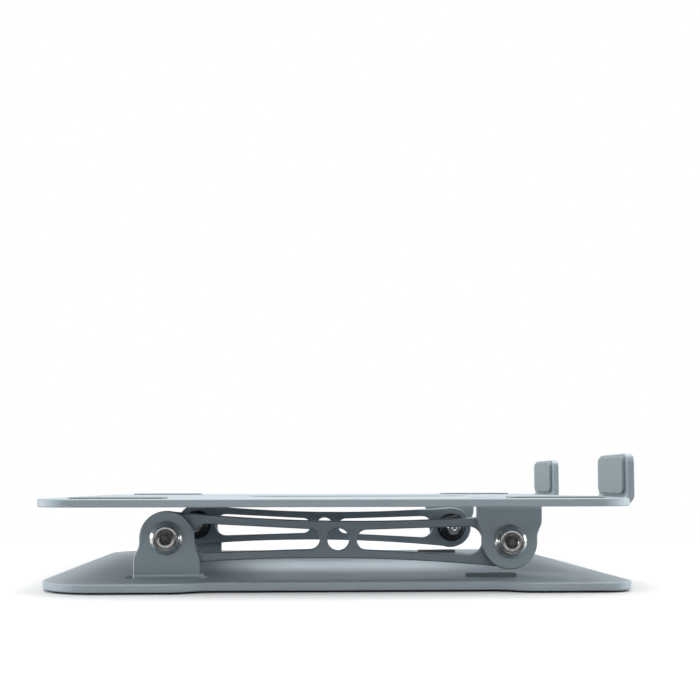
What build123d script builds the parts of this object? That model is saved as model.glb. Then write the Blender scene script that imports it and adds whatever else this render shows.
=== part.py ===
from build123d import *
import os

# Folding laptop stand: a flat base, a flat tray and two swinging arms between them.
# Both plates are bent from one thickness of aluminium sheet. Each plate has two ears
# folded out of it, and each arm turns on a bolt through an ear at either end.
# X runs across the width, the user sits on the -Y side and +Z is up. The origin is on
# the table, midway across the width and the depth. All lengths are in millimetres.

SIDES = {"left": -1, "right": 1}

# Sheet metal
SHEET = 3.4
BEND_RADIUS = 1.5
EDGE_CHAMFER = 0.4

# Base plate
WIDTH = 230.0
FOOT_HEIGHT = 0.8
BASE_TOP = FOOT_HEIGHT + SHEET
BASE_REAR = 127.2
BASE_FRONT = -119.8
BASE_REAR_CORNER = 26.0
BASE_FRONT_CORNER = 12.0
WAIST_DEPTH = 6.0
WAIST_REAR = 59.2
WAIST_FRONT = -64.8
WAIST_RAMP = 9.0
WAIST_RADIUS = 12.0

# Tray plate
TRAY_BOTTOM = 35.1
TRAY_TOP = TRAY_BOTTOM + SHEET
TRAY_REAR = 128.7
TRAY_FRONT = -121.9
TRAY_CORNER = 20.0
VENT_SIZE = (66.0, 110.0)
VENT_CENTRE_Y = -12.0
VENT_CORNER = 12.0

# Hooks that stop the laptop sliding off the front of the tray
HOOK_OUTER_Y = -128.7
HOOK_CENTRE_X = 64.0
HOOK_WIDTH = 42.0
HOOK_TOP = 57.8
HOOK_CORNER = 4.0

# Hinge lines
REAR_PIVOT = (75.95, 21.2)
FRONT_PIVOT = (-73.35, 19.3)
HINGE_ROWS = {"rear": REAR_PIVOT, "front": FRONT_PIVOT}

# Ears
EAR_OUTER_X = 85.0
EAR_ROOT_HALF = 14.2
EAR_FLARE = (8.0, 3.5)
EAR_FLARE_RADIUS = 7.0
BASE_EAR_RADIUS = 11.8
TRAY_EAR_RADIUS = 12.1
RELIEF = 3.5
RELIEF_DEPTH = 0.7
WINDOW_INNER_X = 54.0
WINDOW_END_RADIUS = 14.8
WINDOW_TAPER = (80.0, 73.5)

# Arms
ARM_THICKNESS = 4.0
ARM_END_RADIUS = 11.5
ARM_WAIST_HALF = 8.1
ARM_HOLE = 9.6
SLOT_INNER = (12.45, 4.35)
SLOT_OUTER = (57.5, 6.2)

# Hinge hardware
BOLT_DIAMETER = 8.0
HOLE_DIAMETER = 8.1
BOLT_HEAD = 14.0
BOLT_HEAD_HEIGHT = 4.0
BOLT_HEAD_RIM = 1.1
BOLT_FACE = 9.8
BOLT_TIP_CHAMFER = 0.7
BOLT_TIP_DIMPLE = 2.8
BOLT_DOME_RADIUS = 4.5
HEX_KEY = 5.0
HEX_DEPTH = 2.8
HEX_MOUTH = 5.9
FRICTION_WASHER = (17.0, 1.0)
INNER_WASHER = (16.4, 1.2)
WASHER_CHAMFER = 0.2
DISC_SPRING = (14.4, 1.0, 0.7)
NUT_ACROSS_FLATS = 13.0
NUT_CORNER = 7.6
NUT_CONE = 0.7
NUT_HEX_HEIGHT = 5.6
NUT_COLLAR = (11.2, 2.2)
NUT_COLLAR_ROUND = 0.8
BOLT_PROJECTION = 1.2

# Rubber pads, as length along Y, width along X and thickness
TRAY_PAD = (40.0, 17.0, 0.8)
TRAY_PAD_CENTRE_X = 97.0
TRAY_PAD_CENTRES_Y = {"rear": 94.7, "front": -90.3}
HOOK_PAD = (36.0, 16.6, 1.5)
HOOK_PAD_BOTTOM = 40.1
HOOK_PAD_CORNER = 3.2
ARM_REST_PAD = (22.0, 5.0, 1.6)
ARM_REST_CENTRE = (83.3, -65.2)
ARM_REST_CORNER = 1.0
FOOT = (36.0, 13.0)
FOOT_CENTRE_X = 97.0
FOOT_CENTRES_Y = {"rear": 94.0, "front": -87.0}
PAD_CORNER = 3.0
PAD_EDGE = 0.3

os.makedirs("parts", exist_ok=True)


def save(piece, name):
    """Label a finished piece and write it as its own file."""
    piece.part.label = name
    export_step(piece.part, f"parts/{name}.step")


def ear_window(side, pivot_y):
    """Draw the opening that an ear leaves behind it in the plate."""
    root_half = EAR_ROOT_HALF + RELIEF
    outer_x = side * (EAR_OUTER_X + BEND_RADIUS + RELIEF_DEPTH)
    end_x = side * (WINDOW_INNER_X + WINDOW_END_RADIUS)
    taper_outer, taper_inner = (side * x for x in WINDOW_TAPER)
    with BuildSketch() as window:
        with BuildLine():
            for sign in (-1, 1):
                FilletPolyline(
                    (outer_x, pivot_y),
                    (outer_x, pivot_y + sign * root_half),
                    (taper_outer, pivot_y + sign * root_half),
                    (taper_inner, pivot_y + sign * WINDOW_END_RADIUS),
                    (end_x, pivot_y + sign * WINDOW_END_RADIUS),
                    radius=(1.2, 4.0, 4.0),
                )
            ThreePointArc(
                (end_x, pivot_y - WINDOW_END_RADIUS),
                (side * WINDOW_INNER_X, pivot_y),
                (end_x, pivot_y + WINDOW_END_RADIUS),
            )
        make_face()
    return window.sketch


def quarter_bend(plane):
    """Draw the quarter ring of sheet round the centre of a bend."""
    with BuildSketch(plane) as bend:
        with BuildLine():
            CenterArc((0, 0), BEND_RADIUS + SHEET, 0, 90)
            CenterArc((0, 0), BEND_RADIUS, 0, 90)
            Line((BEND_RADIUS, 0), (BEND_RADIUS + SHEET, 0))
            Line((0, BEND_RADIUS), (0, BEND_RADIUS + SHEET))
        make_face()
    return bend.sketch


def make_ear(side, pivot, end_radius, sheet_face, up):
    """Make one ear with its bend. The up sign is 1 on the base and -1 on the tray."""
    pivot_y, pivot_z = pivot
    bend_x = side * (EAR_OUTER_X + BEND_RADIUS)
    bend_z = sheet_face + up * BEND_RADIUS
    depth = abs(pivot_z - bend_z)
    flare_root, flare_tip = EAR_FLARE
    bend_plane = Plane(
        origin=(bend_x, pivot_y, bend_z), x_dir=(-side, 0, 0), z_dir=(0, -side * up, 0)
    )
    ear_plane = Plane(
        origin=(side * EAR_OUTER_X, pivot_y, pivot_z), x_dir=(0, side * up, 0), z_dir=(-side, 0, 0)
    )
    root_plane = Plane(
        origin=(bend_x, pivot_y, sheet_face - up * SHEET / 2), x_dir=(0, 1, 0), z_dir=(side, 0, 0)
    )
    with BuildPart() as ear:
        extrude(quarter_bend(bend_plane), amount=EAR_ROOT_HALF, both=True)
        with BuildSketch(ear_plane):
            with BuildLine():
                FilletPolyline(
                    (EAR_ROOT_HALF, depth),
                    (EAR_ROOT_HALF, flare_root),
                    (end_radius, flare_tip),
                    (end_radius, 0),
                    radius=EAR_FLARE_RADIUS,
                )
                mirror(about=Plane.YZ)
                ThreePointArc((end_radius, 0), (0, -end_radius), (-end_radius, 0))
                Line((-EAR_ROOT_HALF, depth), (EAR_ROOT_HALF, depth))
            make_face()
        extrude(amount=SHEET)
        with BuildSketch(root_plane):
            Rectangle(2 * EAR_ROOT_HALF, SHEET)
        extrude(amount=RELIEF_DEPTH + EDGE_CHAMFER)
        plate_joint = ear.faces().sort_by(Axis.X)[-1 if side > 0 else 0].edges()
        straight_across = ear.edges().filter_by(Axis.X) + ear.edges().filter_by(Axis.Y)
        outline = [e for e in ear.edges() if e not in plate_joint and e not in straight_across]
        chamfer(outline, EDGE_CHAMFER)
        with BuildSketch(ear_plane):
            Circle(HOLE_DIAMETER / 2)
        extrude(amount=SHEET, mode=Mode.SUBTRACT)
    return ear.part


def make_hook(side):
    """Make one hook with its bend and the tab that joins it to the front of the tray."""
    inner_y = HOOK_OUTER_Y + SHEET
    bend_y = inner_y + BEND_RADIUS
    bend_z = TRAY_TOP + BEND_RADIUS
    bend_plane = Plane(
        origin=(side * HOOK_CENTRE_X, bend_y, bend_z), x_dir=(0, 0, -1), z_dir=(-1, 0, 0)
    )
    face_plane = Plane(
        origin=(side * HOOK_CENTRE_X, HOOK_OUTER_Y, bend_z), x_dir=(-1, 0, 0), z_dir=(0, 1, 0)
    )
    tab_plane = Plane(
        origin=(side * HOOK_CENTRE_X, bend_y, TRAY_BOTTOM + SHEET / 2),
        x_dir=(-1, 0, 0),
        z_dir=(0, 1, 0),
    )
    with BuildPart() as hook:
        extrude(quarter_bend(bend_plane), amount=HOOK_WIDTH / 2, both=True)
        with BuildSketch(face_plane):
            with Locations((0, (HOOK_TOP - bend_z) / 2)):
                Rectangle(HOOK_WIDTH, HOOK_TOP - bend_z)
        extrude(amount=SHEET)
        top_corners = hook.edges().filter_by(Axis.Y).group_by(Axis.Z)[-1]
        fillet(top_corners, HOOK_CORNER)
        with BuildSketch(tab_plane):
            Rectangle(HOOK_WIDTH, SHEET)
        extrude(amount=TRAY_FRONT - bend_y + 2 * EDGE_CHAMFER)
        end_face = hook.faces().sort_by(Axis.Y)[-1].edges()
        corners = hook.edges().filter_by(Axis.Y)
        bend_lines = [e for e in hook.edges().filter_by(Axis.X) if e.center().Z < HOOK_TOP - 0.1]
        outline = [
            e for e in hook.edges() if e not in end_face and e not in bend_lines and e not in corners
        ]
        chamfer(outline, EDGE_CHAMFER)
    return hook.part


# Base plate: rounded corners, a waist on each side and two ears folded up at the rear
with BuildPart() as base_plate:
    with BuildSketch(Plane.XY.offset(FOOT_HEIGHT)):
        with BuildLine():
            half_width = WIDTH / 2
            FilletPolyline(
                (0, BASE_REAR),
                (half_width, BASE_REAR),
                (half_width, WAIST_REAR + WAIST_RAMP),
                (half_width - WAIST_DEPTH, WAIST_REAR),
                (half_width - WAIST_DEPTH, WAIST_FRONT),
                (half_width, WAIST_FRONT - WAIST_RAMP),
                (half_width, BASE_FRONT),
                (0, BASE_FRONT),
                radius=(BASE_REAR_CORNER, *[WAIST_RADIUS] * 4, BASE_FRONT_CORNER),
            )
            mirror(about=Plane.YZ)
        make_face()
        for side in SIDES.values():
            add(ear_window(side, REAR_PIVOT[0]), mode=Mode.SUBTRACT)
    extrude(amount=SHEET)
    flat_faces = base_plate.faces().filter_by(Axis.Z)
    chamfer(flat_faces.edges(), EDGE_CHAMFER)
    for side in SIDES.values():
        add(make_ear(side, REAR_PIVOT, BASE_EAR_RADIUS, BASE_TOP, 1))
save(base_plate, "base_plate")

# Tray plate: a central vent, two ears folded down at the front and two hooks folded up
with BuildPart() as tray_plate:
    tray_centre_y = (TRAY_REAR + TRAY_FRONT) / 2
    with BuildSketch(Plane.XY.offset(TRAY_BOTTOM)):
        with Locations((0, tray_centre_y)):
            RectangleRounded(WIDTH, TRAY_REAR - TRAY_FRONT, TRAY_CORNER)
        with Locations((0, VENT_CENTRE_Y)):
            RectangleRounded(*VENT_SIZE, VENT_CORNER, mode=Mode.SUBTRACT)
        for side in SIDES.values():
            add(ear_window(side, FRONT_PIVOT[0]), mode=Mode.SUBTRACT)
    extrude(amount=SHEET)
    flat_faces = tray_plate.faces().filter_by(Axis.Z)
    chamfer(flat_faces.edges(), EDGE_CHAMFER)
    for side in SIDES.values():
        add(make_ear(side, FRONT_PIVOT, TRAY_EAR_RADIUS, TRAY_BOTTOM, -1))
        add(make_hook(side))
save(tray_plate, "tray_plate")

# Arms: waisted bars with a round hole at mid-length and a tapered slot either side of it
arm_run = Vector(0, FRONT_PIVOT[0] - REAR_PIVOT[0], FRONT_PIVOT[1] - REAR_PIVOT[1])
arm_half_length = arm_run.length / 2
arm_middle = (Vector(0, *REAR_PIVOT) + Vector(0, *FRONT_PIVOT)) * 0.5
arm_outer_x = EAR_OUTER_X - SHEET - FRICTION_WASHER[1]
# Radius of the long hollow curve that touches both end circles and passes the waist
edge_radius = (arm_half_length**2 + ARM_WAIST_HALF**2 - ARM_END_RADIUS**2) / (
    2 * (ARM_END_RADIUS - ARM_WAIST_HALF)
)
edge_reach = edge_radius + ARM_END_RADIUS
tangent_x = arm_half_length * (1 - ARM_END_RADIUS / edge_reach)
tangent_y = (ARM_WAIST_HALF + edge_radius) * ARM_END_RADIUS / edge_reach
for hand, side in SIDES.items():
    arm_plane = Plane(
        origin=arm_middle + Vector(side * arm_outer_x, 0, 0), x_dir=arm_run, z_dir=(-side, 0, 0)
    )
    with BuildPart() as arm:
        with BuildSketch(arm_plane):
            with BuildLine():
                ThreePointArc((-tangent_x, tangent_y), (0, ARM_WAIST_HALF), (tangent_x, tangent_y))
                ThreePointArc(
                    (tangent_x, tangent_y),
                    (arm_half_length + ARM_END_RADIUS, 0),
                    (tangent_x, -tangent_y),
                )
                ThreePointArc(
                    (tangent_x, -tangent_y), (0, -ARM_WAIST_HALF), (-tangent_x, -tangent_y)
                )
                ThreePointArc(
                    (-tangent_x, -tangent_y),
                    (-arm_half_length - ARM_END_RADIUS, 0),
                    (-tangent_x, tangent_y),
                )
            make_face()
            Circle(ARM_HOLE / 2, mode=Mode.SUBTRACT)
        extrude(amount=ARM_THICKNESS)
        for end in (-1, 1):
            with BuildSketch(arm_plane):
                for distance, radius in (SLOT_INNER, SLOT_OUTER):
                    with Locations((end * distance, 0)):
                        Circle(radius)
                make_hull()
            extrude(amount=ARM_THICKNESS, mode=Mode.SUBTRACT)
        chamfer(arm.faces().filter_by(Axis.X).edges(), EDGE_CHAMFER)
        with BuildSketch(arm_plane):
            with Locations((-arm_half_length, 0), (arm_half_length, 0)):
                Circle(HOLE_DIAMETER / 2)
        extrude(amount=ARM_THICKNESS, mode=Mode.SUBTRACT)
    save(arm, f"arm_{hand}")

# Hinge hardware, one set at each end of each arm
inner_washer_x = arm_outer_x - ARM_THICKNESS
spring_x = inner_washer_x - INNER_WASHER[1]
nut_x = spring_x - DISC_SPRING[1]
collar_x = nut_x - NUT_HEX_HEIGHT
bolt_tip_x = collar_x - NUT_COLLAR[1] - BOLT_PROJECTION
bolt_rim_x = EAR_OUTER_X + BOLT_HEAD_RIM
bolt_top_x = EAR_OUTER_X + BOLT_HEAD_HEIGHT
for row, (pivot_y, pivot_z) in HINGE_ROWS.items():
    for hand, side in SIDES.items():
        prefix = f"{row}_{hand}"
        hinge_axis = Axis((0, pivot_y, pivot_z), (1, 0, 0))
        # Half-section plane: local x runs outboard from the middle, local y up from the axis
        section = Plane(origin=hinge_axis.position, x_dir=(side, 0, 0), z_dir=(0, -side, 0))
        outboard = Plane(origin=hinge_axis.position, x_dir=(0, 1, 0), z_dir=(side, 0, 0))

        with BuildPart() as bolt:
            with BuildSketch(section):
                with BuildLine():
                    Polyline(
                        (bolt_top_x, BOLT_FACE / 2),
                        (bolt_top_x, 0),
                        (bolt_tip_x + BOLT_TIP_DIMPLE / 2, 0),
                        (bolt_tip_x, BOLT_TIP_DIMPLE / 2),
                        (bolt_tip_x, BOLT_DIAMETER / 2 - BOLT_TIP_CHAMFER),
                        (bolt_tip_x + BOLT_TIP_CHAMFER, BOLT_DIAMETER / 2),
                        (EAR_OUTER_X, BOLT_DIAMETER / 2),
                        (EAR_OUTER_X, BOLT_HEAD / 2),
                        (bolt_rim_x, BOLT_HEAD / 2),
                    )
                    RadiusArc(
                        (bolt_rim_x, BOLT_HEAD / 2), (bolt_top_x, BOLT_FACE / 2), BOLT_DOME_RADIUS
                    )
                make_face()
            revolve(axis=hinge_axis)
            with BuildSketch(outboard.offset(bolt_top_x)):
                RegularPolygon(HEX_KEY / 2, 6, major_radius=False, rotation=30)
            extrude(amount=-HEX_DEPTH, mode=Mode.SUBTRACT)
            # Conical mouth of the key socket
            with BuildSketch(section):
                with BuildLine():
                    Polyline(
                        (bolt_top_x, 0),
                        (bolt_top_x, HEX_MOUTH / 2),
                        (bolt_top_x - HEX_MOUTH / 2, 0),
                        close=True,
                    )
                make_face()
            revolve(axis=hinge_axis, mode=Mode.SUBTRACT)
        save(bolt, f"{prefix}_bolt")

        with BuildPart() as friction_washer:
            with BuildSketch(outboard.offset(arm_outer_x)):
                Circle(FRICTION_WASHER[0] / 2)
                Circle(HOLE_DIAMETER / 2, mode=Mode.SUBTRACT)
            extrude(amount=FRICTION_WASHER[1])
        save(friction_washer, f"{prefix}_friction_washer")

        with BuildPart() as inner_washer:
            with BuildSketch(outboard.offset(spring_x)):
                Circle(INNER_WASHER[0] / 2)
                Circle(HOLE_DIAMETER / 2, mode=Mode.SUBTRACT)
            extrude(amount=INNER_WASHER[1])
            rims = inner_washer.edges().filter_by(GeomType.CIRCLE).sort_by(SortBy.RADIUS)[-2:]
            chamfer(rims, WASHER_CHAMFER)
        save(inner_washer, f"{prefix}_inner_washer")

        # Disc spring: a shallow cone with its rim on the washer and its bore on the nut
        with BuildPart() as disc_spring:
            with BuildSketch(section):
                with BuildLine():
                    Polyline(
                        (spring_x, DISC_SPRING[0] / 2),
                        (spring_x - DISC_SPRING[2], DISC_SPRING[0] / 2),
                        (nut_x, HOLE_DIAMETER / 2),
                        (nut_x + DISC_SPRING[2], HOLE_DIAMETER / 2),
                        close=True,
                    )
                make_face()
            revolve(axis=hinge_axis)
        save(disc_spring, f"{prefix}_disc_spring")

        with BuildPart() as lock_nut:
            with BuildSketch(outboard.offset(collar_x)):
                RegularPolygon(NUT_ACROSS_FLATS / 2, 6, major_radius=False)
            extrude(amount=NUT_HEX_HEIGHT)
            # Both ends of the hexagon are turned down to a cone
            with BuildSketch(section, mode=Mode.PRIVATE) as turned:
                with BuildLine():
                    Polyline(
                        (collar_x, 0),
                        (collar_x, NUT_ACROSS_FLATS / 2),
                        (collar_x + NUT_CONE, NUT_CORNER),
                        (nut_x - NUT_CONE, NUT_CORNER),
                        (nut_x, NUT_ACROSS_FLATS / 2),
                        (nut_x, 0),
                        close=True,
                    )
                make_face()
            revolve(turned.sketch, axis=hinge_axis, mode=Mode.INTERSECT)
            with BuildSketch(outboard.offset(collar_x)):
                Circle(NUT_COLLAR[0] / 2)
            extrude(amount=-NUT_COLLAR[1])
            collar_rim = lock_nut.faces().sort_by(Axis.X)[0 if side > 0 else -1].edges()
            fillet(collar_rim, NUT_COLLAR_ROUND)
            with BuildSketch(outboard.offset(nut_x)):
                Circle(HOLE_DIAMETER / 2)
            extrude(amount=-NUT_HEX_HEIGHT - NUT_COLLAR[1], mode=Mode.SUBTRACT)
        save(lock_nut, f"{prefix}_lock_nut")

# Rubber pads on the tray and feet under the base, one near each corner
for row in HINGE_ROWS:
    for hand, side in SIDES.items():
        pad_length, pad_width, pad_height = TRAY_PAD
        pad_origin = (side * TRAY_PAD_CENTRE_X, TRAY_PAD_CENTRES_Y[row], TRAY_TOP)
        with BuildPart() as tray_pad:
            with BuildSketch(Plane(origin=pad_origin)):
                RectangleRounded(pad_width, pad_length, PAD_CORNER)
            extrude(amount=pad_height)
            chamfer(tray_pad.faces().sort_by(Axis.Z)[-1].edges(), PAD_EDGE)
        save(tray_pad, f"{row}_{hand}_tray_pad")

        foot_length, foot_width = FOOT
        with BuildPart() as foot:
            with BuildSketch(Plane(origin=(side * FOOT_CENTRE_X, FOOT_CENTRES_Y[row], 0))):
                RectangleRounded(foot_width, foot_length, PAD_CORNER)
            extrude(amount=FOOT_HEIGHT)
            chamfer(foot.faces().sort_by(Axis.Z)[0].edges(), PAD_EDGE)
        save(foot, f"{row}_{hand}_foot")

# Pads on the hooks and the rests that the folded arms come down to
for hand, side in SIDES.items():
    pad_width, pad_height, pad_depth = HOOK_PAD
    pad_origin = (side * HOOK_CENTRE_X, HOOK_OUTER_Y + SHEET, HOOK_PAD_BOTTOM + pad_height / 2)
    with BuildPart() as hook_pad:
        with BuildSketch(Plane(origin=pad_origin, x_dir=(-1, 0, 0), z_dir=(0, 1, 0))):
            RectangleRounded(pad_width, pad_height, HOOK_PAD_CORNER)
        extrude(amount=pad_depth)
        fillet(hook_pad.faces().sort_by(Axis.Y)[-1].edges(), PAD_EDGE)
    save(hook_pad, f"{hand}_hook_pad")

    rest_length, rest_width, rest_height = ARM_REST_PAD
    rest_x, rest_y = ARM_REST_CENTRE
    with BuildPart() as arm_rest:
        with BuildSketch(Plane(origin=(side * rest_x, rest_y, BASE_TOP))):
            RectangleRounded(rest_width, rest_length, ARM_REST_CORNER)
        extrude(amount=rest_height)
        chamfer(arm_rest.faces().sort_by(Axis.Z)[-1].edges(), PAD_EDGE)
    save(arm_rest, f"{hand}_arm_rest")
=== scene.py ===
import math

import bmesh
import bpy
from bpy.props import FloatProperty, FloatVectorProperty, PointerProperty
from bpy.types import Operator, Panel, PropertyGroup
from mathutils import Matrix, Vector


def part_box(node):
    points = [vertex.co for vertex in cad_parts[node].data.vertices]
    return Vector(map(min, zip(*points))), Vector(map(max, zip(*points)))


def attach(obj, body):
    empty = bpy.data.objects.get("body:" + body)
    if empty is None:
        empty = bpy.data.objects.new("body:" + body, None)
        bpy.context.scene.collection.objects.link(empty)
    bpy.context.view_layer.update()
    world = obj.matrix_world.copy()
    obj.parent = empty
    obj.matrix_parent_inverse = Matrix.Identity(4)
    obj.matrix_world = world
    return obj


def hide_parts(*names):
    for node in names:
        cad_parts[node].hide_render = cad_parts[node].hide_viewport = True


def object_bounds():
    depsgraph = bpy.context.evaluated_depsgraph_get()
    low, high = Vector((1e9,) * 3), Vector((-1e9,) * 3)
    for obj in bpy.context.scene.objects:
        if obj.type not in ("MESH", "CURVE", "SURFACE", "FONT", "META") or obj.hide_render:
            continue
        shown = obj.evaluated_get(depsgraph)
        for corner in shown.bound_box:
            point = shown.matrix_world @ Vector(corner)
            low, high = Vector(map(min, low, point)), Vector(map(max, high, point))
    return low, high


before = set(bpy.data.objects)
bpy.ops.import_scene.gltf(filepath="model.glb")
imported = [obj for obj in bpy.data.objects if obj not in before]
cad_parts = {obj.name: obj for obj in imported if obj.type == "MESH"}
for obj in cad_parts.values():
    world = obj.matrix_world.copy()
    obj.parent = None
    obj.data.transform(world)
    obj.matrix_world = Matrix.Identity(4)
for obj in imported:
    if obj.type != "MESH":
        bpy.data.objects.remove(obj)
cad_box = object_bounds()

bl_info = {
    "name": "Folding Laptop Stand",
    "version": (1, 0, 0),
    "blender": (4, 5, 0),
    "location": "3D View > Sidebar > Laptop Stand",
    "description": "Finishes the plates, arms, hinges and pads of a folding laptop stand",
    "category": "Object",
}

SIDES = ("left", "right")
ROWS = ("rear", "front")
HINGES = [f"{row}_{side}" for row in ROWS for side in SIDES]
BODY_OF_ROW = {"rear": "base", "front": "front_pivots"}
MM = 0.001
TURNS = 96
SHARP_ANGLE = math.radians(32)

# Bolts: depth of the thread
THREAD_DEPTH = 0.62 * MM

# Where the painted shade inside a bolt's socket ends and its face begins, from the hinge line
# outwards
SOCKET_SHADE_EDGE = (3.1 * MM, 3.3 * MM)

# Pads: loops on the shoulder and on the crown, and the tightest corner of a loop
SHOULDER_STEPS = 6
CROWN_STEPS = 12
TIGHTEST_CORNER = 0.2 * MM

# Corner radii of the pads, seen from above
TRAY_PAD_CORNER = 3.0 * MM
HOOK_PAD_CORNER = 3.2 * MM
ARM_REST_CORNER = 1.0 * MM
FOOT_CORNER = 3.0 * MM

# Clocking of each hinge's bolt socket and nut against the one before
BOLT_CLOCKING = math.radians(22.5)
NUT_CLOCKING = math.radians(15.0)

# Room: how steeply the bright wall climbs, and over what range its edge fades
WALL_CLIMB = 0.8
WALL_EDGE = (-0.15, 0.75)

# Floor: radii of the disc's rings, and where the paper fades out, in metres
FLOOR_RINGS = (0.02, 0.1, 0.3, 0.8, 2.0)
FLOOR_FADE = (0.20, 0.42)

# Camera: place in metres, lens shift, and angles in degrees
CAMERA_PLACE = (-0.5465, 0.0255, 0.0440)
CAMERA_SHIFT = (0.05, 0.11)
CAMERA_HEADING = -1.72
CAMERA_TILT = 3.14
CAMERA_ROLL = 0.10

# Lights: place, width and height in metres. They all face LIT_POINT
LIT_POINT = (-0.05, 0, 0.02)
KEY_LIGHT = ((-0.62, 0.0, 0.34), 1.1, 0.22)
TOP_LIGHT = ((0.12, 0, 0.75), 1.1, 1.0)
REAR_LIGHT = ((-0.06, 0.5, 0.14), 0.55, 0.28)
FRONT_LIGHT = ((-0.06, -0.5, 0.14), 0.55, 0.28)


# ---------------------------------------------------------------- shader maths


class Value:
    """A number that varies over a surface. Arithmetic on it adds Math nodes."""

    def __init__(self, graph, socket):
        self.graph = graph
        self.socket = socket

    def math(self, operation, *operands, clamp=False):
        """Add one Math node on the given operands."""
        settings = {"operation": operation, "use_clamp": clamp}
        node = self.graph.node("ShaderNodeMath", settings, dict(enumerate(operands)))
        return Value(self.graph, node.outputs[0])

    def __add__(self, other):
        return self.math("ADD", self, other)

    __radd__ = __add__

    def __sub__(self, other):
        return self.math("SUBTRACT", self, other)

    def __rsub__(self, other):
        return self.math("SUBTRACT", other, self)

    def __mul__(self, other):
        return self.math("MULTIPLY", self, other)

    __rmul__ = __mul__

    def __pow__(self, other):
        return self.math("POWER", self, other)

    def __abs__(self):
        return self.math("ABSOLUTE", self)

    def clamped(self):
        """Limit the number to the range 0 to 1."""
        return self.math("ADD", self, 0.0, clamp=True)

    def step(self, low, high):
        """Rise smoothly from 0 at low to 1 at high."""
        settings = {"interpolation_type": "SMOOTHSTEP"}
        sockets = {"Value": self, "From Min": low, "From Max": high}
        node = self.graph.node("ShaderNodeMapRange", settings, sockets)
        return Value(self.graph, node.outputs[0])


class Graph:
    """A node tree that is built from Python."""

    def __init__(self, tree):
        self.tree = tree
        self.place = None

    def set(self, node, socket, value):
        """Give one input socket a number, a colour or a link."""
        target = node.inputs[socket]
        if isinstance(value, Value):
            value = value.socket
        if isinstance(value, bpy.types.NodeSocket):
            self.tree.links.new(value, target)
        else:
            target.default_value = value

    def node(self, kind, settings=None, sockets=None):
        """Add a node of a type, with its settings first and its sockets after."""
        node = self.tree.nodes.new(kind)
        for name, value in (settings or {}).items():
            setattr(node, name, value)
        for socket, value in (sockets or {}).items():
            self.set(node, socket, value)
        return node

    def along(self, axis, vector=None):
        """Read one component of the object-space position or of another vector."""
        node = self.node("ShaderNodeSeparateXYZ", None, {"Vector": vector or self.place})
        return Value(self, node.outputs["XYZ".index(axis)])

    def noise(self, grain, detail=2.0, roughness=0.5, vector=None):
        """Soft random variation with features about one grain, in metres, across."""
        sockets = {
            "Vector": vector or self.place,
            "Scale": 1 / grain,
            "Detail": detail,
            "Roughness": roughness,
        }
        return Value(self, self.node("ShaderNodeTexNoise", None, sockets).outputs[0])

    def cells(self, size, vector=None):
        """Distance to the nearest of many scattered points, one size, in metres, apart."""
        sockets = {"Vector": vector or self.place, "Scale": 1 / size}
        return Value(self, self.node("ShaderNodeTexVoronoi", None, sockets).outputs["Distance"])

    def stretched(self, x, y, z):
        """Scale the object-space position along each axis."""
        settings = {"operation": "MULTIPLY"}
        node = self.node("ShaderNodeVectorMath", settings, {0: self.place, 1: (x, y, z)})
        return node.outputs[0]

    def mix(self, factor, first, second):
        """Blend two colours."""
        node = self.node("ShaderNodeMix", {"data_type": "RGBA"}, {0: factor, 6: first, 7: second})
        return node.outputs[2]


class Finish(Graph):
    """One material, built on a Principled shader."""

    def __init__(self, name, **constants):
        self.material = bpy.data.materials.new(name)
        self.material.use_nodes = True
        super().__init__(self.material.node_tree)
        self.shader = self.tree.nodes["Principled BSDF"]
        for socket, value in constants.items():
            self.set(self.shader, socket, value)
        coordinates = self.node("ShaderNodeTexCoord")
        self.place = coordinates.outputs["Object"]
        self.facing = coordinates.outputs["Normal"]

    def bump(self, height, depth):
        """Raise the surface by height, a number from 0 to 1, times depth in metres."""
        sockets = {"Height": height, "Distance": depth, "Strength": 1.0}
        return self.node("ShaderNodeBump", None, sockets).outputs[0]

    def coat(self, **links):
        """Feed the shader's varying sockets, such as base_color."""
        for socket, value in links.items():
            self.set(self.shader, socket.replace("_", " ").title(), value)
        return self.material


def shade(colour, factor):
    """Scale a colour's brightness and keep it opaque."""
    return (*(min(1.0, c * factor) for c in colour[:3]), 1.0)


def cover(piece, material):
    """Give every face of a piece one material."""
    piece.data.materials.clear()
    piece.data.materials.append(material)


def cover_nodes(names, material):
    """Give the CAD nodes with these names one material."""
    for name in names:
        cover(bpy.data.objects[name], material)


# ---------------------------------------------------------------- finishes


def blasted_alloy(name, tint):
    """Bead-blasted, anodised aluminium sheet: fine even grain, faint clouding and cut edges."""
    finish = Finish(name)
    clouds = finish.noise(0.035, detail=3.0)
    grains = finish.noise(0.00045, detail=3.0, roughness=0.6)
    pits = finish.cells(0.0007)
    handling = finish.noise(0.012, detail=5.0, roughness=0.65).step(0.56, 0.74)
    cut = 1 - abs(finish.along("Z", finish.facing)).step(0.3, 0.7)
    streaks = finish.noise(0.0006, vector=finish.stretched(1.0, 1.0, 0.04))
    tone = (0.35 + 0.25 * clouds + 0.22 * grains + 0.08 * cut).clamped()
    return finish.coat(
        base_color=finish.mix(tone, shade(tint, 0.82), shade(tint, 1.18)),
        metallic=0.55 - 0.08 * clouds,
        roughness=0.42 + 0.10 * grains - 0.05 * handling + 0.05 * clouds,
        normal=finish.bump(grains * 0.55 + pits * 0.45 + cut * streaks * 0.6, 0.00003),
    )


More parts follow.
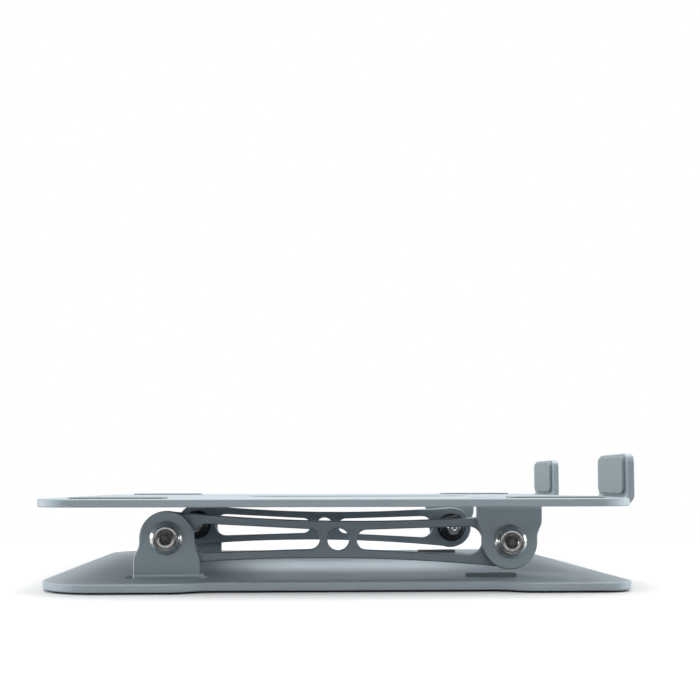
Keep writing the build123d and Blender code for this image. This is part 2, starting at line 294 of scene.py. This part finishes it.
def slate_alloy(name, tint):
    """Anodised arm plate: a darker blasted face with fine cut streaks round its edges."""
    finish = Finish(name)
    clouds = finish.noise(0.02, detail=3.0)
    grains = finish.noise(0.0004, detail=3.0, roughness=0.6)
    cut = 1 - abs(finish.along("X", finish.facing)).step(0.3, 0.8)
    streaks = finish.noise(0.0005, detail=3.0, vector=finish.stretched(0.05, 1.0, 1.0))
    scuffs = finish.noise(0.004, detail=6.0, roughness=0.7).step(0.6, 0.8)
    tone = (0.35 + 0.25 * clouds + 0.20 * grains + 0.12 * cut).clamped()
    return finish.coat(
        base_color=finish.mix(tone, shade(tint, 0.80), shade(tint, 1.20)),
        metallic=0.55 - 0.06 * clouds,
        roughness=0.42 + 0.10 * grains + 0.05 * scuffs - 0.05 * cut * streaks,
        normal=finish.bump(grains * 0.7 + cut * streaks * 0.8, 0.00003),
    )


def turned_steel(name, tint, centre_y, centre_z, seat, face):
    """Stainless bolt steel: rings turned round the hinge line, a little grime, painted shade on the
    flat end face and in the rougher socket.
    """
    finish = Finish(name)
    y = finish.along("Y") - centre_y
    z = finish.along("Z") - centre_z
    radius = (y * y + z * z) ** 0.5
    rings_at = finish.node("ShaderNodeCombineXYZ", None, {"X": radius})
    rings = finish.noise(0.00022, detail=3.0, roughness=0.7, vector=rings_at.outputs[0])
    # end_face picks the faces along the hinge line; the tone below darkens them as painted shade
    end_face = abs(finish.along("X", finish.facing)).step(0.75, 0.95)
    marks = finish.noise(0.0011, detail=5.0, roughness=0.7).step(0.55, 0.8)
    grime = finish.noise(0.0024, detail=4.0).step(0.5, 0.75)
    # out, sunk and socket find the inside of the hexagon socket, which the tone darkens as painted
    # shade and the roughness makes duller
    out = abs(finish.along("X"))
    sunk = out.step(seat, seat + 0.2 * MM) - out.step(face - 0.4 * MM, face - 0.3 * MM)
    socket = sunk * (1 - radius.step(*SOCKET_SHADE_EDGE))
    tone = (0.62 + 0.32 * rings - 0.22 * grime - 0.40 * end_face - 0.5 * socket).clamped()
    return finish.coat(
        base_color=finish.mix(tone, shade(tint, 0.20), shade(tint, 1.15)),
        metallic=1.0 - 0.04 * grime,
        roughness=0.15 + 0.12 * rings * end_face + 0.08 * marks + 0.06 * grime + 0.2 * socket,
        normal=finish.bump(rings * (0.25 + 0.75 * end_face) + 0.3 * marks, 0.000012),
    )


def black_oxide(name, tint):
    """Blackened steel of nuts and washers, worn a little towards bare metal."""
    finish = Finish(name)
    bloom = finish.noise(0.0016, detail=4.0, roughness=0.6)
    scratches = finish.noise(0.0007, detail=5.0, roughness=0.75).step(0.62, 0.8)
    black = finish.mix(0.5 * bloom, shade(tint, 1.0), shade(tint, 2.2))
    return finish.coat(
        base_color=finish.mix(0.6 * scratches, black, (0.16, 0.16, 0.165, 1.0)),
        metallic=0.55 + 0.3 * scratches,
        roughness=0.34 + 0.16 * bloom - 0.08 * scratches,
        normal=finish.bump(bloom * 0.6 + scratches * 0.4, 0.00003),
    )


def waxy_nylon(name, tint):
    """Nylon of the friction washers and nut inserts."""
    finish = Finish(name, IOR=1.53)
    flow = finish.noise(0.003, detail=3.0)
    grain = finish.noise(0.0003)
    return finish.coat(
        base_color=finish.mix(flow, shade(tint, 0.8), shade(tint, 1.25)),
        roughness=0.42 + 0.12 * flow + 0.05 * grain,
        normal=finish.bump(flow * 0.5 + grain * 0.5, 0.00003),
    )


def moulded_rubber(name, tint, stipple=0.00055, roughness=0.62):
    """Silicone or rubber with a fine moulded stipple and a little dust."""
    finish = Finish(name, IOR=1.42)
    dimples = finish.cells(stipple)
    flow = finish.noise(0.007, detail=4.0)
    dust = finish.noise(0.0021, detail=5.0, roughness=0.7).step(0.52, 0.78)
    tone = (0.25 + 0.35 * flow + 0.35 * dimples).clamped()
    clean = finish.mix(tone, shade(tint, 0.84), shade(tint, 1.14))
    return finish.coat(
        base_color=finish.mix(0.10 * dust, clean, (0.62, 0.61, 0.58, 1.0)),
        roughness=roughness + 0.10 * flow + 0.08 * dust,
        normal=finish.bump(dimples.step(0.05, 0.55), 0.00006),
    )


def paper_floor(name, tint, fade_from, fade_to):
    """Pale studio paper with a faint tooth. It fades out, so it has no far edge."""
    finish = Finish(name, Roughness=0.75)
    tooth = finish.noise(0.0009, detail=4.0, roughness=0.6)
    sweep = finish.noise(0.35)
    x = finish.along("X")
    y = finish.along("Y")
    reach = (x * x + y * y) ** 0.5
    return finish.coat(
        base_color=finish.mix(0.5 * tooth + 0.5 * sweep, shade(tint, 0.985), shade(tint, 1.0)),
        alpha=1 - reach.step(fade_from, fade_to),
        normal=finish.bump(tooth, 0.00001),
    )


# ---------------------------------------------------------------- mesh work


def new_piece(name, mesh, material, body, slot, *nodes):
    """Turn a mesh into a piece that rides on a body and stands for CAD nodes."""
    bmesh.ops.recalc_face_normals(mesh, faces=mesh.faces)
    made = bpy.data.meshes.new(name)
    mesh.to_mesh(made)
    mesh.free()
    made.shade_smooth()
    made.set_sharp_from_angle(angle=SHARP_ANGLE)
    piece = bpy.data.objects.new(name, made)
    bpy.context.scene.collection.objects.link(piece)
    cover(piece, material)
    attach(piece, body)
    if nodes:
        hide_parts(*nodes)
    return piece


def skin(mesh, loops, closed=False):
    """Join loops of equal length with quads, then cap both ends or close them on themselves."""
    rows = [[mesh.verts.new(point) for point in loop] for loop in loops]
    pairs = list(zip(rows, rows[1:] + rows[:1])) if closed else list(zip(rows, rows[1:]))
    for near, far in pairs:
        for i in range(len(near)):
            j = (i + 1) % len(near)
            mesh.faces.new((near[i], near[j], far[j], far[i]))
    if not closed:
        for row in (rows[0], rows[-1]):
            centre = mesh.verts.new(sum((v.co for v in row), Vector()) / len(row))
            for i in range(len(row)):
                mesh.faces.new((row[i], row[(i + 1) % len(row)], centre))


def turned_loops(profile, line):
    """Loops round a hinge line. A profile point is x and radius, or a function of the angle."""
    side, centre_y, centre_z = line
    loops = []
    for point in profile:
        loop = []
        for i in range(TURNS):
            angle = 2 * math.pi * i / TURNS
            x, r = point(angle) if callable(point) else point
            y, z = r * math.cos(angle), r * math.sin(angle)
            loop.append((side * x, centre_y + y, centre_z + z))
        loops.append(loop)
    return loops


def arc(start, end, radius, steps=8):
    """Points on the arc from start to end that bulges to the right of the way it runs."""
    start, end = Vector(start), Vector(end)
    chord = end - start
    height = math.sqrt(radius * radius - chord.length_squared / 4)
    centre = (start + end) / 2 + Vector((-chord.y, chord.x)).normalized() * height
    first = math.atan2(*(start - centre).yx)
    sweep = 2 * math.asin(chord.length / 2 / radius)
    angles = [first + sweep * i / steps for i in range(steps + 1)]
    return [(centre.x + radius * math.cos(a), centre.y + radius * math.sin(a)) for a in angles]


def hexagon(across_flats, clocking=0.0):
    """Radius of a hexagon as a function of the angle. The clocking is the angle of a corner."""
    sixth = math.pi / 3

    def radius(angle):
        return across_flats / 2 / math.cos((angle - clocking) % sixth - sixth / 2)

    return radius


def rounded_outline(width, length, corner, inset, steps=8):
    """Points round a rectangle with round corners, drawn in by an inset."""
    radius = max(corner - inset, TIGHTEST_CORNER)
    half_x, half_y = width / 2 - inset - radius, length / 2 - inset - radius
    points = []
    for quarter, (sx, sy) in enumerate(((1, 1), (-1, 1), (-1, -1), (1, -1))):
        for i in range(steps + 1):
            angle = (quarter + i / steps) * math.pi / 2
            x = sx * half_x + radius * math.cos(angle)
            y = sy * half_y + radius * math.sin(angle)
            points.append((x, y))
    return points


def hinge_line(node):
    """Side sign and centre of a hinge node, with its inner and outer distance from the middle."""
    low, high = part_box(node)
    side = -1 if high[0] < 0 else 1
    inner, outer = sorted((abs(low[0]), abs(high[0])))
    return (side, (low[1] + high[1]) / 2, (low[2] + high[2]) / 2), inner, outer


def body_of(hinge):
    """Body that the bolt and the nut of a hinge stay with."""
    row = hinge.split("_")[0]
    return BODY_OF_ROW[row]


# ---------------------------------------------------------------- sizes and colours


def rgb(name, description, default):
    """A colour property."""
    return FloatVectorProperty(
        name=name, description=description, default=default, subtype="COLOR", size=3, min=0, max=1
    )


def mm(name, description, default):
    """A length property. The default is in millimetres."""
    return FloatProperty(
        name=name, description=description, default=default * MM, min=0, unit="LENGTH", precision=5
    )


class PlateSettings(PropertyGroup):
    """Colours of the anodised plates and arms."""

    plate_tint: rgb("Plates", "Anodised colour of the base and the tray", (0.282, 0.338, 0.370))
    arm_tint: rgb("Arms", "Anodised colour of the arms", (0.228, 0.275, 0.308))


class BoltSettings(PropertyGroup):
    """Shape and colour of the button-head hinge bolts."""

    tint: rgb("Steel", "Colour of the bolt steel", (0.70, 0.69, 0.67))
    head_height: mm("Head height", "From the ear to the flat of the head", 4.0)
    rim_height: mm("Rim height", "Straight side under the dome of the head", 1.1)
    face_diameter: mm("Face", "Diameter of the flat of the head", 9.8)
    dome_radius: mm("Dome radius", "Radius of the dome between rim and flat", 4.5)
    key_size: mm("Key size", "Across the flats of the hexagon socket", 5.0)
    socket_depth: mm("Socket depth", "From the flat to the end of the hexagon", 2.8)
    shank_diameter: mm("Shank", "Diameter of the shank and of the thread's crests", 8.0)
    pitch: mm("Pitch", "Distance from one turn of the thread to the next", 1.25)
    thread_length: mm("Thread length", "Threaded part, from the tip", 8.75)


class NutSettings(PropertyGroup):
    """Shape and colours of the lock nuts and washers."""

    tint: rgb("Black steel", "Colour of the nuts, inner washers and springs", (0.022, 0.023, 0.025))
    nylon_tint: rgb("Nylon", "Colour of the nut inserts and friction washers", (0.03, 0.03, 0.032))
    across_flats: mm("Across flats", "Spanner size of the nut", 13.0)
    hex_height: mm("Hexagon height", "Height of the hexagon, without the collar", 5.6)
    collar_diameter: mm("Collar", "Outer diameter of the collar", 11.2)
    lip_diameter: mm("Lip", "Inner diameter of the collar's rolled lip", 9.5)
    bore_diameter: mm("Bore", "Inner diameter, just clear of the thread", 8.06)


class PadSettings(PropertyGroup):
    """Softness and colours of the pads, the arm rests and the feet."""

    grip_tint: rgb("Grip pads", "Silicone on the tray and the hooks", (0.235, 0.275, 0.295))
    rest_tint: rgb("Arm rests", "Dark rubber strips on the base", (0.105, 0.12, 0.125))
    foot_tint: rgb("Feet", "Rubber feet under the base", (0.016, 0.017, 0.018))
    shoulder: mm("Shoulder", "Radius of the moulded edge", 0.35)
    crown: mm("Crown", "How far the middle of a pad stands above its shoulder", 0.12)


class StudioSettings(PropertyGroup):
    """Floor, light and camera."""

    floor_tint: rgb("Floor", "Colour of the paper floor", (0.66, 0.665, 0.67))
    key_power: FloatProperty(
        name="Key", description="Power of the soft box over the near side", default=1.7, unit="POWER"
    )
    top_power: FloatProperty(
        name="Top", description="Power of the soft box overhead", default=8.5, unit="POWER"
    )
    end_power: FloatProperty(
        name="Ends",
        description="Power of each soft box at the ends of the stand",
        default=1.35,
        unit="POWER",
    )
    backdrop: FloatProperty(
        name="Backdrop",
        description="Brightness of the white wall behind the stand",
        default=1.0,
        min=0,
        max=2,
        subtype="FACTOR",
    )
    room: FloatProperty(
        name="Room",
        description="Brightness of the dim side of the studio",
        default=0.03,
        min=0,
        max=2,
        subtype="FACTOR",
    )
    focal_length: FloatProperty(
        name="Focal length",
        description="Camera lens in millimetres",
        default=54.55,
        min=1,
        unit="CAMERA",
    )


# ---------------------------------------------------------------- pieces


class LAPTOPSTAND_OT_plates(Operator):
    """Give the base and the tray their blasted, anodised finish"""

    bl_idname = "laptop_stand.plates"
    bl_label = "Plates"

    def execute(self, context):
        tint = context.scene.stand_plates.plate_tint
        cover_nodes(["base_plate", "tray_plate"], blasted_alloy("blasted_plate", tint))
        return {"FINISHED"}


class LAPTOPSTAND_OT_arms(Operator):
    """Give both arms their darker anodised finish"""

    bl_idname = "laptop_stand.arms"
    bl_label = "Arms"

    def execute(self, context):
        tint = context.scene.stand_plates.arm_tint
        cover_nodes([f"arm_{side}" for side in SIDES], slate_alloy("slate_arm", tint))
        return {"FINISHED"}


class LAPTOPSTAND_OT_washers(Operator):
    """Finish the friction washers, inner washers and disc springs of the hinges"""

    bl_idname = "laptop_stand.washers"
    bl_label = "Washers and springs"

    def execute(self, context):
        nuts = context.scene.stand_nuts
        nylon = waxy_nylon("friction_nylon", nuts.nylon_tint)
        black = black_oxide("black_washer_steel", nuts.tint)
        cover_nodes([f"{hinge}_friction_washer" for hinge in HINGES], nylon)
        cover_nodes([f"{hinge}_inner_washer" for hinge in HINGES], black)
        cover_nodes([f"{hinge}_disc_spring" for hinge in HINGES], black)
        return {"FINISHED"}


def thread(tip, length, pitch, crest, depth, steps=12):
    """Profile of a screw thread from the tip: its radius follows the angle round the bolt."""

    def ridge(x):
        def point(angle):
            phase = (x / pitch - angle / (2 * math.pi)) % 1.0
            cut = min(1.0, 1.15 * abs(2 * phase - 1))
            fade = min(1.0, (length - (x - tip)) / pitch)
            return x, crest - depth * fade * (1 - cut)

        return point

    count = round(length / pitch * steps)
    return [ridge(tip + length * i / count) for i in range(count + 1)]


def bolt_profile(bolt, clocking, tip, top, head_radius):
    """Profile of a button-head bolt, from the middle of its tip to the bottom of its socket."""
    shank = bolt.shank_diameter / 2
    tip_chamfer = 0.7 * MM
    seat = top - bolt.head_height
    rim = seat + bolt.rim_height
    face = bolt.face_diameter / 2
    edge_round = 0.12 * MM
    socket = hexagon(bolt.key_size, clocking)
    mouth = bolt.key_size / math.sqrt(3) + 0.07 * MM
    mouth_ring = 0.22 * MM
    floor_x = top - bolt.socket_depth
    drill = bolt.key_size * 0.40
    thread_start = tip + tip_chamfer
    groove = 0.04 * MM
    return [
        (tip + 0.35 * MM, 0.4 * MM),
        (tip + 0.30 * MM, 1.1 * MM),
        (tip, 1.5 * MM),
        (tip, shank - tip_chamfer),
        *thread(thread_start, bolt.thread_length, bolt.pitch, shank, THREAD_DEPTH),
        (seat - 0.3 * MM, shank),
        (seat, shank),
        (seat, head_radius - edge_round),
        (seat + edge_round, head_radius),
        *arc((rim, head_radius), (top, face), bolt.dome_radius),
        (top - groove, face - 0.1 * MM),
        (top - groove, mouth + mouth_ring + 0.1 * MM),
        (top, mouth + mouth_ring),
        (top, mouth),
        lambda angle: (top - (mouth - socket(angle)), socket(angle)),
        lambda angle: (floor_x + 0.1 * MM, socket(angle)),
        lambda angle: (floor_x, socket(angle) - 0.1 * MM),
        (floor_x, drill),
        (floor_x - 0.15 * MM, drill * 0.9),
        (floor_x - 0.9 * MM, 0.3 * MM),
    ]


class LAPTOPSTAND_OT_bolts(Operator):
    """Make the hinge bolts: domed head, turned face, hexagon socket and threaded tip"""

    bl_idname = "laptop_stand.bolts"
    bl_label = "Hinge bolts"

    def execute(self, context):
        bolt = context.scene.stand_bolts
        for number, hinge in enumerate(HINGES):
            node = f"{hinge}_bolt"
            line, tip, top = hinge_line(node)
            low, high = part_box(node)
            clocking = BOLT_CLOCKING * number
            profile = bolt_profile(bolt, clocking, tip, top, (high[2] - low[2]) / 2)
            mesh = bmesh.new()
            skin(mesh, turned_loops(profile, line))
            seat = top - bolt.head_height
            steel = turned_steel(f"{hinge}_bolt_steel", bolt.tint, line[1], line[2], seat, top)
            body = body_of(hinge)
            new_piece(f"{hinge}_hinge_bolt", mesh, steel, body, "bolt_steel", node)
        return {"FINISHED"}


def nut_profile(nut, clocking, inner, seat):
    """Closed profile of a lock nut: hexagon with turned chamfers, collar and rolled lip."""
    flats = hexagon(nut.across_flats, clocking)
    bore = nut.bore_diameter / 2
    pad = nut.across_flats / 2 - 0.15 * MM
    slope = math.tan(math.radians(60))
    hex_end = seat - nut.hex_height
    collar = nut.collar_diameter / 2
    lip = nut.lip_diameter / 2
    chamfer_steps = [0.1 * MM * i for i in range(8)]

    def turned(x, depth):
        return lambda angle: (x, min(flats(angle), pad + depth * slope))

    return [
        (seat - 0.4 * MM, bore),
        (seat, bore + 0.4 * MM),
        *[turned(seat - depth, depth) for depth in chamfer_steps],
        *[turned(hex_end + depth, depth) for depth in reversed(chamfer_steps)],
        (hex_end, collar + 0.25 * MM),
        (hex_end - 0.25 * MM, collar),
        (inner + 0.8 * MM, collar),
        (inner + 0.35 * MM, collar - 0.12 * MM),
        (inner + 0.08 * MM, collar - 0.42 * MM),
        (inner, lip + 0.25 * MM),
        (inner + 0.15 * MM, lip),
        (inner + 1.3 * MM, lip),
        (inner + 1.3 * MM, bore),
    ]


def insert_profile(nut, inner):
    """Closed profile of the nylon ring that sits inside the collar of a lock nut."""
    bore = nut.bore_diameter / 2
    rim = nut.lip_diameter / 2 - 0.02 * MM
    return [
        (inner + 1.28 * MM, bore),
        (inner + 1.28 * MM, rim),
        (inner + 0.45 * MM, rim),
        (inner + 0.25 * MM, rim - 0.15 * MM),
        (inner + 0.25 * MM, bore + 0.15 * MM),
        (inner + 0.45 * MM, bore),
    ]


class LAPTOPSTAND_OT_lock_nuts(Operator):
    """Make the lock nuts with their collars, and the nylon rings inside them"""

    bl_idname = "laptop_stand.lock_nuts"
    bl_label = "Lock nuts"

    def execute(self, context):
        nut = context.scene.stand_nuts
        black = black_oxide("black_nut_steel", nut.tint)
        nylon = waxy_nylon("insert_nylon", nut.nylon_tint)
        for number, hinge in enumerate(HINGES):
            node = f"{hinge}_lock_nut"
            line, inner, seat = hinge_line(node)
            body = body_of(hinge)
            mesh = bmesh.new()
            profile = nut_profile(nut, NUT_CLOCKING * number, inner, seat)
            skin(mesh, turned_loops(profile, line), closed=True)
            new_piece(f"{hinge}_nut", mesh, black, body, "black_steel", node)
            mesh = bmesh.new()
            skin(mesh, turned_loops(insert_profile(nut, inner), line), closed=True)
            new_piece(f"{hinge}_nut_insert", mesh, nylon, body, "nylon")
        return {"FINISHED"}


def pad_mesh(width, length, thickness, corner, shoulder, crown, place):
    """A moulded pad on its local XY plane, with a soft shoulder and a low crown."""
    mesh = bmesh.new()
    reach = min(width, length) / 2
    flat = thickness - crown
    foot_chamfer = 0.12 * MM
    ridge = 0.5 * MM
    heights = [(foot_chamfer, 0.0), (0.0, foot_chamfer)]
    for i in range(SHOULDER_STEPS + 1):
        angle = math.pi / 2 * i / SHOULDER_STEPS
        inset = shoulder * (1 - math.cos(angle))
        heights.append((inset, flat - shoulder * (1 - math.sin(angle))))
    for i in range(1, CROWN_STEPS + 1):
        share = i / CROWN_STEPS
        inset = shoulder + (reach - shoulder - ridge) * share
        heights.append((inset, flat + crown * math.sin(share * math.pi / 2)))
    loops = []
    for inset, height in heights:
        outline = rounded_outline(width, length, corner, inset)
        loops.append([place @ Vector((x, y, height)) for x, y in outline])
    skin(mesh, loops)
    return mesh


def pad_place(node, outward):
    """Size of a flat pad node, and the placing that stands a local pad on its back face."""
    low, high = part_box(node)
    middle, size = (low + high) / 2, high - low
    axis = "XYZ".index(outward[-1])
    sign = -1 if outward[0] == "-" else 1
    across = Vector((1, 0, 0))
    out = Vector((0, 0, 0))
    out[axis] = sign
    along = out.cross(across)
    back = middle - out * size[axis] / 2
    turn = Matrix((across, along, out)).transposed().to_4x4()
    width, length = size[0], abs(size.dot(along))
    return width, length, size[axis], Matrix.Translation(back) @ turn


def make_pads(context, nodes, outward, body, slot, material, corner):
    """Make one moulded pad in place of each of the named nodes."""
    pads = context.scene.stand_pads
    for node in nodes:
        width, length, thickness, place = pad_place(node, outward)
        shoulder = min(pads.shoulder, thickness / 2)
        mesh = pad_mesh(width, length, thickness, corner, shoulder, pads.crown, place)
        new_piece(f"{node}_moulding", mesh, material, body, slot, node)


class LAPTOPSTAND_OT_grip_pads(Operator):
    """Make the silicone pads on the tray and on the faces of the hooks"""

    bl_idname = "laptop_stand.grip_pads"
    bl_label = "Grip pads"

    def execute(self, context):
        grip = moulded_rubber("grip_silicone", context.scene.stand_pads.grip_tint)
        tray_pads = [f"{hinge}_tray_pad" for hinge in HINGES]
        hook_pads = [f"{side}_hook_pad" for side in SIDES]
        make_pads(context, tray_pads, "+Z", "tray", "grip_pad", grip, TRAY_PAD_CORNER)
        make_pads(context, hook_pads, "+Y", "tray", "grip_pad", grip, HOOK_PAD_CORNER)
        return {"FINISHED"}


class LAPTOPSTAND_OT_arm_rests(Operator):
    """Make the rubber strips on the base that the arms fold down onto"""

    bl_idname = "laptop_stand.arm_rests"
    bl_label = "Arm rests"

    def execute(self, context):
        tint = context.scene.stand_pads.rest_tint
        rubber = moulded_rubber("rest_rubber", tint, stipple=0.0008, roughness=0.5)
        rests = [f"{side}_arm_rest" for side in SIDES]
        make_pads(context, rests, "+Z", "base", "arm_rest", rubber, ARM_REST_CORNER)
        return {"FINISHED"}


class LAPTOPSTAND_OT_feet(Operator):
    """Make the rubber feet under the base"""

    bl_idname = "laptop_stand.feet"
    bl_label = "Feet"

    def execute(self, context):
        tint = context.scene.stand_pads.foot_tint
        rubber = moulded_rubber("foot_rubber", tint, stipple=0.0007, roughness=0.55)
        feet = [f"{hinge}_foot" for hinge in HINGES]
        make_pads(context, feet, "-Z", "base", "foot_rubber", rubber, FOOT_CORNER)
        return {"FINISHED"}


# ---------------------------------------------------------------- studio


def area_light(name, layout, power):
    """Add a soft rectangular light that faces the stand."""
    position, width, height = layout
    lamp = bpy.data.lights.new(name, "AREA")
    lamp.shape = "RECTANGLE"
    lamp.size, lamp.size_y = width, height
    lamp.energy = power
    light = bpy.data.objects.new(name, lamp)
    light.location = position
    aim = Vector(LIT_POINT) - Vector(position)
    light.rotation_euler = aim.to_track_quat("-Z", "Y").to_euler()
    bpy.context.scene.collection.objects.link(light)


def light_room(studio):
    """White wall behind the stand, dim room in front of it, plain white to the camera."""
    world = bpy.data.worlds.new("studio_room")
    world.use_nodes = True
    bpy.context.scene.world = world
    graph = Graph(world.node_tree)
    graph.place = graph.node("ShaderNodeTexCoord").outputs["Generated"]
    behind = (graph.along("X") + WALL_CLIMB * graph.along("Z")).step(*WALL_EDGE)
    brightness = behind * (studio.backdrop - studio.room) + studio.room
    seen = Value(graph, graph.node("ShaderNodeLightPath").outputs["Is Camera Ray"])
    strength = seen + (1 - seen) * brightness
    background = world.node_tree.nodes["Background"]
    graph.set(background, "Color", (1.0, 1.0, 1.0, 1.0))
    graph.set(background, "Strength", strength)


def make_floor(studio):
    """A wide paper disc at the height of the feet."""
    bottom = cad_box[0][2]
    mesh = bmesh.new()
    angles = [2 * math.pi * i / TURNS for i in range(TURNS)]
    rings = []
    for radius in FLOOR_RINGS:
        ring = [(radius * math.cos(a), radius * math.sin(a), bottom) for a in angles]
        rings.append([mesh.verts.new(point) for point in ring])
    mesh.faces.new(rings[0])
    for inner, outer in zip(rings, rings[1:]):
        for i in range(TURNS):
            j = (i + 1) % TURNS
            mesh.faces.new((inner[i], outer[i], outer[j], inner[j]))
    made = bpy.data.meshes.new("paper_floor")
    mesh.to_mesh(made)
    mesh.free()
    floor = bpy.data.objects.new("paper_floor", made)
    bpy.context.scene.collection.objects.link(floor)
    cover(floor, paper_floor("studio_paper", studio.floor_tint, *FLOOR_FADE))


def make_camera(studio):
    """A nearly level camera beside the stand, a little above the tray."""
    lens = bpy.data.cameras.new("side_camera")
    lens.lens = studio.focal_length
    lens.shift_x, lens.shift_y = CAMERA_SHIFT
    camera = bpy.data.objects.new("side_camera", lens)
    camera.location = CAMERA_PLACE
    tilt = math.radians(CAMERA_TILT)
    aim = Vector((math.cos(tilt), 0, math.sin(tilt)))
    heading = Matrix.Rotation(math.radians(CAMERA_HEADING), 3, "Z")
    roll = Matrix.Rotation(-math.radians(CAMERA_ROLL), 3, "Z")
    turn = heading @ aim.to_track_quat("-Z", "Y").to_matrix() @ roll
    camera.rotation_euler = turn.to_euler()
    bpy.context.scene.collection.objects.link(camera)
    bpy.context.scene.camera = camera


class LAPTOPSTAND_OT_studio(Operator):
    """Set up the floor, the lights and the camera"""

    bl_idname = "laptop_stand.studio"
    bl_label = "Studio"

    def execute(self, context):
        studio = context.scene.stand_studio
        light_room(studio)
        make_floor(studio)
        area_light("key_soft_box", KEY_LIGHT, studio.key_power)
        area_light("overhead_soft_box", TOP_LIGHT, studio.top_power)
        area_light("rear_soft_box", REAR_LIGHT, studio.end_power)
        area_light("front_soft_box", FRONT_LIGHT, studio.end_power)
        make_camera(studio)
        context.scene.view_settings.view_transform = "Standard"
        return {"FINISHED"}


# ---------------------------------------------------------------- add-on


SETTINGS = {
    "stand_plates": PlateSettings,
    "stand_bolts": BoltSettings,
    "stand_nuts": NutSettings,
    "stand_pads": PadSettings,
    "stand_studio": StudioSettings,
}
OPERATORS = (
    LAPTOPSTAND_OT_plates,
    LAPTOPSTAND_OT_arms,
    LAPTOPSTAND_OT_washers,
    LAPTOPSTAND_OT_bolts,
    LAPTOPSTAND_OT_lock_nuts,
    LAPTOPSTAND_OT_grip_pads,
    LAPTOPSTAND_OT_arm_rests,
    LAPTOPSTAND_OT_feet,
    LAPTOPSTAND_OT_studio,
)


class LAPTOPSTAND_PT_sidebar(Panel):
    """Sizes, colours and steps of the laptop stand"""

    bl_idname = "LAPTOPSTAND_PT_sidebar"
    bl_label = "Laptop Stand"
    bl_space_type = "VIEW_3D"
    bl_region_type = "UI"
    bl_category = "Laptop Stand"

    def draw(self, context):
        for name, group in SETTINGS.items():
            box = self.layout.box()
            for prop in group.__annotations__:
                box.prop(getattr(context.scene, name), prop)
        column = self.layout.column(align=True)
        for operator in OPERATORS:
            column.operator(operator.bl_idname)


CLASSES = (*SETTINGS.values(), *OPERATORS, LAPTOPSTAND_PT_sidebar)


def register():
    """Register the classes and hang the settings on the scene."""
    for cls in CLASSES:
        bpy.utils.register_class(cls)
    for name, group in SETTINGS.items():
        setattr(bpy.types.Scene, name, PointerProperty(type=group))


def unregister():
    """Undo register."""
    for name in SETTINGS:
        delattr(bpy.types.Scene, name)
    for cls in reversed(CLASSES):
        bpy.utils.unregister_class(cls)


def main():
    """Build the whole stand."""
    register()
    for operator in OPERATORS:
        package, name = operator.bl_idname.split(".")
        getattr(getattr(bpy.ops, package), name)()


if __name__ == "__main__":
    main()
